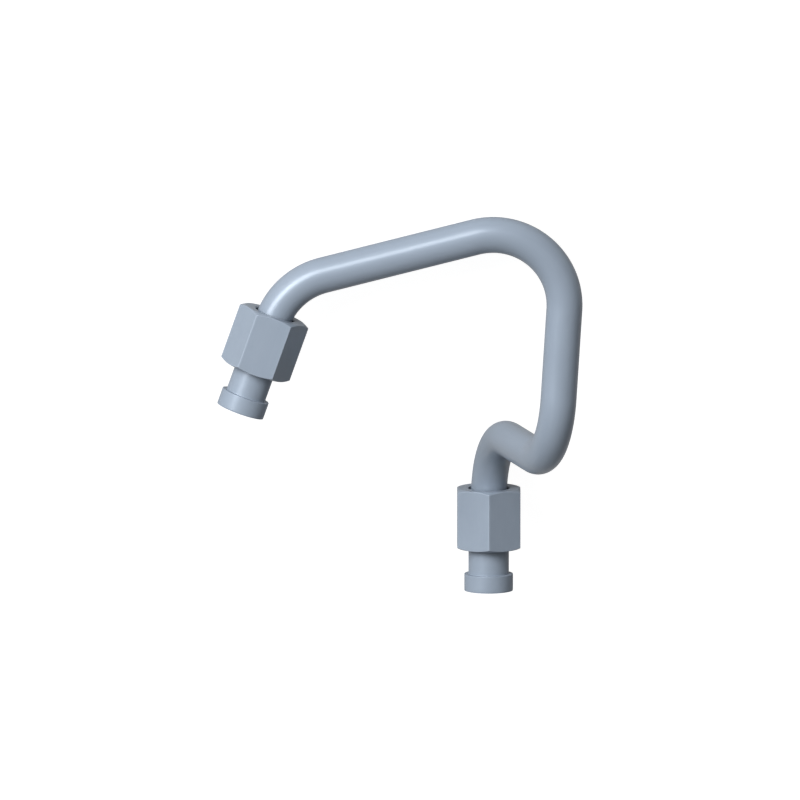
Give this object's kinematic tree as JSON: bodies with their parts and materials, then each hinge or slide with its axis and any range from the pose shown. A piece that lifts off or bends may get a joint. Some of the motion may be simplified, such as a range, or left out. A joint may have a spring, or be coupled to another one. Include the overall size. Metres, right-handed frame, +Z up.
{
  "type": "drain tube",
  "caption": "Bent steel drain tube with a flared mouth, a loose flare sleeve and a sliding hexagon nut at each end.",
  "frame": {"origin": "centre of the tube's footprint on the surface it lies on", "axes": "+Z up from that surface; +X the long way of the lying tube, away from both mouths; +Y from the right mouth's leg to the left mouth's leg"},
  "size_m": [0.1664, 0.143, 0.0577],
  "materials": {
    "tube_steel": "satin drawn tube, blue-grey",
    "sleeve_steel": "fine turned, blue-grey",
    "nut_steel": "satin machined, blue-grey"
  },
  "bodies": {
    "tube": {"bent_tube": "tube_steel"},
    "left_collar": {"left_sleeve": "sleeve_steel"},
    "right_collar": {"right_sleeve": "sleeve_steel"},
    "left_coupling": {"left_nut": "nut_steel"},
    "right_coupling": {"right_nut": "nut_steel"}
  },
  "joints": [
    {"name": "left_spin", "type": "hinge", "parent": "tube", "child": "left_collar", "pos_m": [-0.0014, 0.06227, 0.0319], "axis": [-0.8302, 0.1584, 0.5345], "continuous": true},
    {"name": "left_slide", "type": "slide", "parent": "left_collar", "child": "left_coupling", "axis": [-0.8302, 0.1584, 0.5345], "range_m": [0, 0.0213]},
    {"name": "right_spin", "type": "hinge", "parent": "tube", "child": "right_collar", "pos_m": [-0.0776, -0.06152, 0.03244], "axis": [-0.7585, -0.1584, 0.6321], "continuous": true},
    {"name": "right_slide", "type": "slide", "parent": "right_collar", "child": "right_coupling", "axis": [-0.7585, -0.1584, 0.6321], "range_m": [0, 0.0213]}
  ]
}
